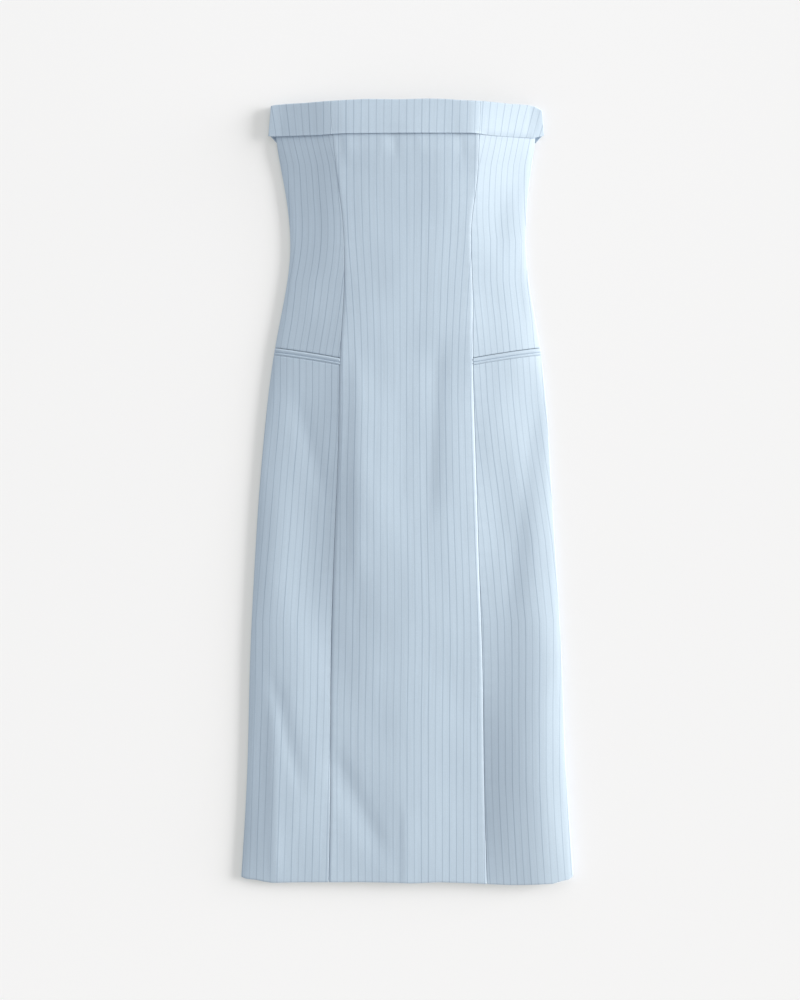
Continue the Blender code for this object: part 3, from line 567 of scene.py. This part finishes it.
def suiting(name, ground, stripe):
    """Pinstriped suiting. The cloth UV counts stripes across and the same lengths along, so the stripes
    and both sets of threads follow the cut of each piece. Each stripe has its own strength and wanders a
    little, and the ground has fibres, cloudy patches and long faint streaks."""
    material = bpy.data.materials.new(name)
    material.use_nodes = True
    tree = material.node_tree
    shader = tree.nodes["Principled BSDF"]
    threads = tree.nodes.new("ShaderNodeUVMap")
    threads.uv_map = "cloth"
    split = tree.nodes.new("ShaderNodeSeparateXYZ")
    tree.links.new(threads.outputs["UV"], split.inputs["Vector"])
    across, along = split.outputs["X"], split.outputs["Y"]
    place = tree.nodes.new("ShaderNodeTexCoord").outputs["Object"]

    wander = noise(tree, place, 30.0, 1.0, (1.0, 0.3, 1.0))
    shifted = value_node(tree, "ADD", across, between(tree, wander, 0.3, 0.7, -0.03, 0.03))
    place_in_pitch = value_node(tree, "FRACT", shifted)
    centred = value_node(tree, "ABSOLUTE", value_node(tree, "SUBTRACT", place_in_pitch, 0.5))
    half = STRIPE_WIDTH / PITCH / 2
    line = between(tree, centred, half * 0.55, half * 1.35, 1.0, 0.0, smooth=True)
    worn = between(tree, noise(tree, place, 70.0, 3.0, (1.0, 0.25, 1.0)), 0.3, 0.7, 0.72, 1.0)
    stripe_number = tree.nodes.new("ShaderNodeTexWhiteNoise")
    stripe_number.noise_dimensions = "1D"
    tree.links.new(value_node(tree, "FLOOR", shifted), stripe_number.inputs["W"])
    woven = between(tree, stripe_number.outputs["Value"], 0.0, 1.0, 0.6, 1.15)
    strength = value_node(tree, "MULTIPLY", value_node(tree, "MULTIPLY", line, worn), woven, clamp=True)

    fibres = noise(tree, place, 1400.0, 2.0, (1.0, 0.45, 1.0))
    tone = mixed(tree, between(tree, fibres, 0.3, 0.7, 0.0, 1.0), tuple(0.965 * c for c in ground),
                 tuple(min(1.035 * c, 1.0) for c in ground))
    cloudy = between(tree, noise(tree, place, 7.0, 2.0), 0.3, 0.7, 0.985, 1.015)
    tone = mixed(tree, 1.0, tone, rgb_of(tree, cloudy), "MULTIPLY")
    lengthwise = noise(tree, threads.outputs["UV"], 3.0, 2.0, (1.0, 0.03, 1.0))
    streaks = between(tree, lengthwise, 0.3, 0.7, 0.972, 1.028)
    tone = mixed(tree, 1.0, tone, rgb_of(tree, streaks), "MULTIPLY")
    colour = mixed(tree, strength, tone, stripe)
    tree.links.new(colour, shader.inputs["Base Color"])

    turns = 2 * np.pi * THREADS_PER_STRIPE
    warp = value_node(tree, "SINE", value_node(tree, "MULTIPLY", across, turns))
    weft = value_node(tree, "SINE", value_node(tree, "MULTIPLY", along, turns))
    weave = value_node(tree, "MULTIPLY", warp, weft)
    height = value_node(tree, "ADD", value_node(tree, "MULTIPLY", weave, 0.35),
                        value_node(tree, "MULTIPLY", fibres, 0.8))
    raised = value_node(tree, "ADD", height, value_node(tree, "MULTIPLY", line, 0.5))
    bump = tree.nodes.new("ShaderNodeBump")
    bump.inputs["Strength"].default_value = 0.35
    bump.inputs["Distance"].default_value = 0.00012
    tree.links.new(raised, bump.inputs["Height"])
    tree.links.new(bump.outputs["Normal"], shader.inputs["Normal"])

    tree.links.new(between(tree, fibres, 0.3, 0.7, 0.52, 0.6), shader.inputs["Roughness"])
    shader.inputs["Specular IOR Level"].default_value = 1.0
    shader.inputs["Sheen Weight"].default_value = 0.18
    shader.inputs["Sheen Roughness"].default_value = 0.5
    shader.inputs["Sheen Tint"].default_value = (1.0, 1.0, 1.0, 1.0)
    return material


def rgb_of(tree, value):
    """Turns one number into a grey."""
    node = tree.nodes.new("ShaderNodeCombineColor")
    for socket in node.inputs[:3]:
        tree.links.new(value, socket)
    return node.outputs[0]


def woven_tape(name, colour):
    """Zip tape: fine ribs across it, a little uneven, that read the dress's own place."""
    material = bpy.data.materials.new(name)
    material.use_nodes = True
    tree = material.node_tree
    shader = tree.nodes["Principled BSDF"]
    place = tree.nodes.new("ShaderNodeTexCoord").outputs["Object"]
    ribs = tree.nodes.new("ShaderNodeTexWave")
    ribs.bands_direction = "Y"
    ribs.inputs["Scale"].default_value = 420.0
    ribs.inputs["Distortion"].default_value = 0.6
    tree.links.new(place, ribs.inputs["Vector"])
    share = between(tree, ribs.outputs["Fac"], 0.0, 1.0, 0.0, 1.0)
    tree.links.new(mixed(tree, share, tuple(0.86 * c for c in colour), colour), shader.inputs["Base Color"])
    bump = tree.nodes.new("ShaderNodeBump")
    bump.inputs["Strength"].default_value = 0.4
    bump.inputs["Distance"].default_value = 0.0001
    tree.links.new(ribs.outputs["Fac"], bump.inputs["Height"])
    tree.links.new(bump.outputs["Normal"], shader.inputs["Normal"])
    shader.inputs["Roughness"].default_value = 0.7
    return material


GROUND = (0.5, 0.617, 0.748)
LINE = (0.347, 0.45, 0.58)
CLOTH_FRONT = suiting("pale_blue_pinstripe", GROUND, LINE)
CLOTH_BACK = suiting("pale_blue_pinstripe_back", GROUND, LINE)
TAPE = woven_tape("zip_tape_blue", (0.36, 0.47, 0.58))


# Panels of the front


def side_line(side, y, inset=0.0):
    """The side seam of that side, moved inwards."""
    return SECTION["left"](y) + inset if side == "left" else SECTION["right"](y) - inset


def seam_line(side, y, outwards=0.0):
    """The princess seam of that side, moved towards the side seam."""
    return SECTION["seam_left"](y) - outwards if side == "left" else SECTION["seam_right"](y) + outwards


def pocket_y(t):
    """Height on the body of the pocket mouth, t being 0 at the side seam and 1 at the princess seam."""
    return POCKET_SEAM_Y + POCKET_SLANT * (1 - t) + POCKET_BOW * 4 * t * (1 - t)


def across_side(side, t, y):
    """x of the point t of the way from the side seam to the princess seam."""
    edge, seam = side_line(side, y, EDGE), seam_line(side, y, HALF_SEAM + EDGE)
    return edge + t * (seam - edge)


def hem_allowance(y, low):
    """Extra thickness where the hem is turned up inside."""
    return HEM_EXTRA * smooth_step((low + HEM_TURN - y) / HEM_STEP)


def from_side(side, u):
    """t, which runs from the side seam inwards, for u, which runs to the right."""
    return u if side == "left" else 1 - u


def centre_front():
    """The centre panel, from hem to neck in one: u runs evenly from the left princess seam to the right
    one, v evenly from the hem to the top edge, and the front's height carries the cloth."""
    u, v = grid(graded(88, 0.075, 14), np.linspace(0, 1, 430))
    x_low = seam_line("left", HEM_Y) + u * (seam_line("right", HEM_Y) - seam_line("left", HEM_Y))
    x_top = seam_line("left", NECK_Y) + u * (seam_line("right", NECK_Y) - seam_line("left", NECK_Y))
    low = hem_y(x_low) + EDGE
    y = low + v * (neck_y(x_top) - EDGE - low)
    left, right = (seam_line(side, y, -HALF_SEAM - EDGE) for side in ("left", "right"))
    x = left + u * (right - left)
    outer, inner = front_cloth(x, y, extra=hem_allowance(y, low))
    uv = np.stack([stripe_phase("centre", x, y), y / PITCH], axis=-1)
    cut_piece("centre_front_panel", "centre_front", outer, inner, uv, CLOTH_FRONT)


def side_panel(side, part, node, low, top, columns, rows, hemmed=False):
    """A side panel between two lines, each given as y for t, which runs evenly from the side seam to the
    princess seam. The front's height carries the cloth."""
    u, v = grid(graded(columns, 0.09, 9), np.linspace(0, 1, rows))
    t = from_side(side, u)
    bottom = low(t) + EDGE
    y = bottom + v * (top(t) - EDGE - bottom)
    x = across_side(side, t, y)
    outer, inner = front_cloth(x, y, extra=hem_allowance(y, bottom) if hemmed else 0.0)
    uv = np.stack([stripe_phase(f"{part}_{side}", x, y), y / PITCH], axis=-1)
    cut_piece(f"{part}_side_{side}", node, outer, inner, uv, CLOTH_FRONT)


def welt(side, node, below_mouth, width, name):
    """A welt of the pocket, cut with its stripes along the mouth: a strip whose fold swells like a half
    sine, highest a little above its middle."""
    u, v = grid(graded(60, 0.09, 9), np.linspace(0, 1, 13))
    t = from_side(side, u)
    top = pocket_y(t) - MOUTH_GAP / 2 - below_mouth - EDGE
    y = top - (1 - v) * (width - 2 * EDGE)
    x = across_side(side, t, y)
    outer, inner = front_cloth(x, y, swell=LIP_SWELL * np.sin(np.pi * v**1.25))
    uv = np.stack([(y - pocket_y(t)) / PITCH + LIP_STRIPE + 0 * x, x / PITCH], axis=-1)
    return placed(name, shell_mesh(name, outer, inner, uv), CLOTH_FRONT, (node,))


def front_panels():
    """The centre panel and, on each side, the bodice's side, the pocket's two welts and the skirt's side."""
    centre_front()
    for side in ("left", "right"):
        side_panel(side, "bodice", f"side_front_upper_{side}", lambda t: pocket_y(t) + MOUTH_GAP / 2,
                   lambda t, side=side: neck_y(across_side(side, t, NECK_Y)), 50, 150)
        welts = [welt(side, f"pocket_welt_upper_{side}", 0.0, LIP_UPPER, f"upper_welt_{side}"),
                 welt(side, f"pocket_welt_lower_{side}", LIP_UPPER + LIP_GAP, LIP_LOWER,
                      f"lower_welt_{side}")]
        side_panel(side, "skirt", f"side_front_lower_{side}",
                   lambda t, side=side: hem_y(across_side(side, t, HEM_Y)),
                   lambda t: pocket_y(t) - MOUTH_GAP / 2 - LIP_UPPER - LIP_LOWER - LIP_GAPS, 62, 300,
                   hemmed=True)


# Cuff


def cuff_end(pair, y):
    """x of the cuff's end at that y, on the straight line through its top and lower corner."""
    top, low = pair
    return low + (top - low) * (y - CUFF_END_LOW_Y) / (CUFF_END_TOP_Y - CUFF_END_LOW_Y)


def cuff_height(x, y):
    """Height of the front cuff's inner face: on the body, a little off it towards the lower edge but for
    the lit side, and never lower than the back of the cuff, by a smooth maximum of the two. It lies in
    shallow waves and its lower fold curls outwards."""
    above = np.maximum(y - cuff_low(x), 0.0)
    down = np.clip((neck_y(x) - y) / (neck_y(x) - cuff_low(x)), 0.0, 1.0)
    beyond = np.maximum(np.maximum(SECTION["left"](y) - x, x - SECTION["right"](y)), 0.0)
    beyond = beyond ** 2 / (beyond + CUFF_END_EASE)
    bridged = sum(lofted(x + reach, y, IN_ONE) for reach in (-CUFF_BRIDGE, 0.0, CUFF_BRIDGE)) / 3
    body = SIDE_EDGE + SIDE_ROLL + cuff_lift(y) + bridged - CUFF_END_SLOPE * beyond
    loose = 1 - CUFF_TIGHT * smooth_step((x - CUFF_TIGHT_FROM) / CUFF_TIGHT_WITHIN)
    on_body = body + (CUFF_OFF + CUFF_FLARE * smooth_step(down)) * loose
    from_end = np.minimum(x - cuff_end(CUFF_LEFT, y), cuff_end(CUFF_RIGHT, y) - x)
    lowest = CUFF_REST_TOP + (CUFF_REST_LOW - CUFF_REST_TOP) * down
    lowest = lowest + near_end(from_end, CUFF_END_RISE, CUFF_RISE_WIDTH)
    resting = (on_body + lowest + np.sqrt((on_body - lowest) ** 2 + CUFF_REST_EASE ** 2)) / 2
    waves = CUFF_WAVE * down * (np.sin(x / 12.5 + 0.5) + np.sin(x / 23.0 + 2.1 + y / 40.0))
    return resting + waves + CUFF_LIP * loose * (1 - rolled(above, CUFF_LIP_WIDTH))


def cuff_stripes(x, y, lean_left, lean_right, left_x, right_x):
    """Stripes of the cuff, leaning evenly from one end's lean to the other's."""
    lean = np.interp(x, (left_x, right_x), (lean_left, lean_right))
    return (x - lean * (NECK_Y - y)) / CUFF_PITCH + CUFF_STRIPE


def top_turn(v):
    """The cuff's turn over the top edge: how far along it a row is, from 0 to 1, how far the wall has
    swung through its quarter circle, and how far it has gone straight on after that."""
    turn = np.clip((v - CUFF_TURN_FROM) / (1 - CUFF_TURN_FROM), 0.0, 1.0)
    angle = np.pi / 2 * np.minimum(turn / CUFF_SWING, 1.0)
    straight = np.maximum(turn - CUFF_SWING, 0.0) / (1 - CUFF_SWING) * (CLOTH - EDGE)
    return turn, angle, straight


def cuff_panel(name, node, left_line, right_line, left_x, right_x, leans, columns):
    """A piece of the front cuff between two end lines. Its last rows turn down over the top edge: the
    wall swings through a quarter circle and then drops to meet the panel."""
    rows = np.concatenate([CUFF_TURN_FROM * graded(36, 0.1, 8), np.linspace(CUFF_TURN_FROM, 1, 12)[1:]])
    u, v = grid(columns, rows)
    x_guide = left_x + u * (right_x - left_x)
    low, top = cuff_low(x_guide) + EDGE, neck_y(x_guide) + LIE_GAP
    y = low + np.minimum(v / CUFF_TURN_FROM, 1.0) * (top - low)
    left, right = left_line(y), right_line(y)
    x = left + u * (right - left)
    flat = np.stack([x, y, cuff_height(x, y)], axis=-1)
    normal = upward_normal(cuff_height, x, y)
    turn, angle, drop = top_turn(v)
    angle, drop = angle[..., None], drop[..., None]
    facing = normal * np.cos(angle) + np.array([0.0, 1.0, 0.0]) * np.sin(angle)
    facing /= np.linalg.norm(facing, axis=-1, keepdims=True)
    inner = flat + CUFF_TURN * (facing - normal) - np.array([0.0, 0.0, 1.0]) * drop
    phase = cuff_stripes(x, y, *leans, left_x, right_x)
    uv = np.stack([phase, (y + CUFF_TURN_LENGTH * turn) / PITCH], axis=-1)
    near_fold = 1 - rolled(y - cuff_low(x), CUFF_PRESSED_WIDTH)
    pressed = smooth_step((x - CUFF_TIGHT_FROM) / CUFF_TIGHT_WITHIN) * near_fold
    thick = CUFF * (1 - CUFF_PRESSED * pressed)[..., None]
    cut_piece(name, node, inner + facing * thick, inner, uv, CLOTH_FRONT,
              edge=CUFF_EDGE_TURN)


def cuff_back():
    """The back of the cuff lies on the floor, with slanted lower corners, and its last rows turn up over
    the back's top edge: a quarter circle and then a straight climb."""
    rows = np.concatenate([np.linspace(0, CUFF_TURN_FROM, 26), np.linspace(CUFF_TURN_FROM, 1, 12)[1:]])
    u, v = grid(graded(150, 0.05, 12), rows)
    left_x, right_x = CUFF_LEFT[0], CUFF_RIGHT[0]
    x_guide = left_x + u * (right_x - left_x)
    from_end = np.minimum(x_guide - left_x, right_x - x_guide)
    corner = np.clip(1 - from_end / CUFF_BACK_CORNER, 0.0, 1.0)
    low = CUFF_BACK_LOW_Y + corner * (CUFF_END_LOW_Y - CUFF_BACK_LOW_Y) + EDGE
    top = neck_y(x_guide) + LIE_GAP
    y = low + np.minimum(v / CUFF_TURN_FROM, 1.0) * (top - low)
    left, right = cuff_end(CUFF_LEFT, y) + EDGE, cuff_end(CUFF_RIGHT, y) - EDGE
    x = left + u * (right - left)
    turn, angle, climb = top_turn(v)
    facing = np.stack([np.zeros_like(x), np.sin(angle), -np.cos(angle)], axis=-1)
    inwards = np.minimum(x - cuff_end(CUFF_LEFT, y), cuff_end(CUFF_RIGHT, y) - x)
    end_rise = near_end(inwards, CUFF_END_RISE, CUFF_RISE_WIDTH)
    centre = np.stack([x, y, CUFF + CUFF_TURN + climb + end_rise], axis=-1)
    floor_side = centre + (CUFF_TURN + CUFF) * facing
    cloth_side = centre + CUFF_TURN * facing
    uv = np.stack([x / CUFF_PITCH + CUFF_STRIPE, (y + CUFF_TURN_LENGTH * turn) / PITCH], axis=-1)
    cut_piece("cuff_back_band", "cuff_back", cloth_side, floor_side, uv, CLOTH_BACK)


def cuff():
    """The front cuff in three pieces, cut at the princess seams, and the back one."""
    seam_left_x, seam_right_x = seam_line("left", CUFF_END_TOP_Y), seam_line("right", CUFF_END_TOP_Y)
    inset = CUFF_HALF_SEAM + CUFF_EDGE_TURN
    cuff_panel("cuff_side_left", "cuff_front_left", lambda y: cuff_end(CUFF_LEFT, y) + inset,
               lambda y: seam_line("left", y, inset), CUFF_LEFT[0], seam_left_x, CUFF_LEANS["left"],
               graded(56, 0.1, 10))
    cuff_panel("cuff_centre", "cuff_front_centre", lambda y: seam_line("left", y, -inset),
               lambda y: seam_line("right", y, -inset), seam_left_x, seam_right_x, CUFF_LEANS["centre"],
               graded(110, 0.04, 8))
    cuff_panel("cuff_side_right", "cuff_front_right", lambda y: seam_line("right", y, inset),
               lambda y: cuff_end(CUFF_RIGHT, y) - inset, seam_right_x, CUFF_RIGHT[0], CUFF_LEANS["right"],
               graded(56, 0.1, 10))
    cuff_back()


# Back


def back_crease(side, x, y):
    """The back lies on the floor but for soft creases, where it lifts off it by less than a millimetre."""
    mirror = 1.0 if side == "left" else -1.0
    from_seam = np.minimum(np.abs(x - side_line(side, y)) - CREASE_FROM_SIDE, np.abs(x) - CREASE_FROM_MIDDLE)
    return fold_heights(BACK_CREASES, mirror * x, y) * smooth_step(from_seam / CREASE_FADE)


def back_panel(side):
    """Half of the back, from the side seam to the centre seam, with a vent that opens evenly towards the
    hem. It is flat but for the creases, the upturn at the side seam and the lift over the cuff."""
    u, v = grid(graded(60, 0.06, 8), np.linspace(0, 1, 260))
    t = from_side(side, u)
    edge_low, edge_top = side_line(side, HEM_Y, BACK_INSET), side_line(side, NECK_Y, BACK_INSET)
    low = hem_y(edge_low * (1 - t)) + BACK_SHORT + EDGE
    y = low + v * (neck_y(edge_top * (1 - t)) - EDGE - low)
    vent = HALF_SEAM + VENT_HALF_WIDTH * np.clip((VENT_TOP_Y - y) / (VENT_TOP_Y - HEM_Y), 0.0, 1.0) + EDGE
    edge, middle = side_line(side, y, BACK_INSET + EDGE), (-vent if side == "left" else vent)
    x = edge + t * (middle - edge)
    turn = SIDE_TURN + FORM[f"side_{side}"](y)
    turned_up = near_end(np.abs(x - side_line(side, y)), turn, SIDE_TURN_WIDTH)
    z = cuff_lift(y) + back_crease(side, x, y) + turned_up
    floor_side = np.stack([x, y, z], axis=-1)
    cloth_side = floor_side + np.stack([0 * x, 0 * x, CLOTH + 0.5 * hem_allowance(y, low)], axis=-1)
    lean = x / BACK_HALF_CUT[0] * BACK_LEAN
    uv = np.stack([(x + lean * y) / PITCH + BACK_STRIPE, y / PITCH], axis=-1)
    cut_piece(f"back_panel_{side}", f"back_{side}", cloth_side, floor_side, uv, CLOTH_BACK)


def zip_tape():
    """The tape of the concealed zip lies inside on the centre back seam, with the coil along its middle:
    a low ridge, half an ellipse in section, whose height goes up and down once for every tooth."""
    u, v = grid(np.linspace(0, 1, 35), np.linspace(0, 1, 1050))
    y = ZIP_END_Y + v * (NECK_Y - ZIP_BELOW_NECK - ZIP_END_Y)
    x = (u - 0.5) * (ZIP_WIDTH - 2 * EDGE)
    lower = np.stack([x, y, cuff_lift(y) + CLOTH + LIE_GAP], axis=-1)
    arch = np.sqrt(np.clip(1 - (x / COIL_HALF_WIDTH) ** 2, 0.0, 1.0))
    ridge = COIL_HEIGHT * arch * (0.8 + 0.2 * np.sin(2 * np.pi * y / TOOTH_PITCH))
    upper = lower + np.stack([0 * x, 0 * x, ZIP_THICK + ridge], axis=-1)
    uv = np.stack([x / PITCH, y / PITCH], axis=-1)
    piece = placed("zip_tape_and_coil", shell_mesh("zip_tape_and_coil", upper, lower, uv), TAPE,
                   ("back_zip",))


def zip_slider():
    """The slider at the top of the coil, and its pull, which lies down the tape: two blocks that narrow
    and thin out towards their ends with the square of the distance."""
    u, v = grid(np.linspace(-1, 1, 17), np.linspace(-1, 1, 25))
    for name, below_neck, half_width, half_length, height, over_tape in ZIP_BLOCKS:
        y = NECK_Y - below_neck + v * half_length
        x = u * half_width * (1 - 0.25 * v ** 2)
        base = cuff_lift(y) + CLOTH + LIE_GAP + ZIP_THICK + over_tape
        swell = height * (1 - 0.3 * u ** 2 - 0.3 * v ** 2)
        lower, upper = np.stack([x, y, base], axis=-1), np.stack([x, y, base + swell], axis=-1)
        placed(name, shell_mesh(name, upper, lower, np.stack([x, y], axis=-1)), TAPE)


def back():
    """The two halves of the back, and the zip inside between them."""
    for side in ("left", "right"):
        back_panel(side)
    zip_tape()
    zip_slider()


# Surface, light and camera


def surface():
    """The pale surface that the dress lies on: one large square, just under it. It glows faintly warm of its
    own, which is painted light that keeps the shadow light, and its colour is painted brighter towards the
    hem, which evens out the panel's falloff on it."""
    half, low = 4.0, -0.0004
    corners = np.array([[-half, -half, low], [half, -half, low], [half, half, low], [-half, half, low]])
    mesh = bpy.data.meshes.new("table_surface")
    mesh.from_pydata(corners.tolist(), [], [(0, 1, 2, 3)])
    material = bpy.data.materials.new("white_surface")
    material.use_nodes = True
    tree = material.node_tree
    shader = tree.nodes["Principled BSDF"]
    place = tree.nodes.new("ShaderNodeTexCoord").outputs["Object"]
    split = tree.nodes.new("ShaderNodeSeparateXYZ")
    tree.links.new(place, split.inputs["Vector"])
    # Painted light: the colour is painted darker towards the neck and brighter towards the hem, evening out
    # the falloff of the panel over the neck.
    share = between(tree, split.outputs["Y"], -0.7, 0.7, 0.0, 1.0)
    pale = mixed(tree, share, (0.735, 0.745, 0.825), (0.685, 0.695, 0.77))
    tree.links.new(pale, shader.inputs["Base Color"])
    # Painted light: the surface glows a faint warm light of its own, though it is no lamp, which lightens
    # the dress's shadow on it.
    shader.inputs["Emission Color"].default_value = (0.215, 0.21, 0.155, 1.0)
    shader.inputs["Emission Strength"].default_value = 1.0
    shader.inputs["Roughness"].default_value = 0.9
    shader.inputs["Specular IOR Level"].default_value = 0.1
    mesh.materials.append(material)
    table = bpy.data.objects.new("table_surface", mesh)
    bpy.context.scene.collection.objects.link(table)


def light():
    """One wide soft lamp, low from the right and a little from the neck, an even fill from all round, and
    a panel of light over the neck, so that it gets a little darker towards the hem."""
    scene = bpy.context.scene
    scene.view_settings.view_transform = "Standard"
    world = bpy.data.worlds.new("even_fill")
    world.use_nodes = True
    world.node_tree.nodes["Background"].inputs["Color"].default_value = (0.97, 0.985, 1.0, 1.0)
    world.node_tree.nodes["Background"].inputs["Strength"].default_value = 0.50
    scene.world = world
    lamp = bpy.data.lights.new("wide_soft_lamp", "SUN")
    lamp.energy = 6.0
    lamp.angle = np.radians(36)
    lamp.color = (1.0, 0.96, 0.875)
    holder = bpy.data.objects.new("wide_soft_lamp", lamp)
    elevation, azimuth = np.radians(12.5), np.radians(9)
    holder.rotation_euler = (0.0, np.pi / 2 - elevation, azimuth)
    scene.collection.objects.link(holder)
    panel = bpy.data.lights.new("panel_over_the_neck", "AREA")
    panel.shape = "SQUARE"
    panel.size = 1.2
    panel.energy = 5.0
    hanger = bpy.data.objects.new("panel_over_the_neck", panel)
    hanger.location = (0.1, 1.3, 1.7)
    hanger.rotation_euler = (np.radians(-35), 0.0, 0.0)
    scene.collection.objects.link(hanger)


def camera():
    """Straight above, from far enough for a long lens, in metres. The picture is 1.3732 m high at the
    dress, which is 1.3732 mm to each of its 1000 pixels."""
    lens = bpy.data.cameras.new("from_above")
    distance, middle_height, picture_height, sensor = 3.2, 0.012, 1.3732, 24.0
    lens.sensor_fit = "VERTICAL"
    lens.sensor_height = sensor
    lens.lens = sensor * (distance - middle_height) / picture_height
    holder = bpy.data.objects.new("from_above", lens)
    holder.location = (-0.0089, -0.0127, distance)
    bpy.context.scene.collection.objects.link(holder)
    bpy.context.scene.camera = holder


camera()
front_panels()
cuff()
back()
surface()
light()
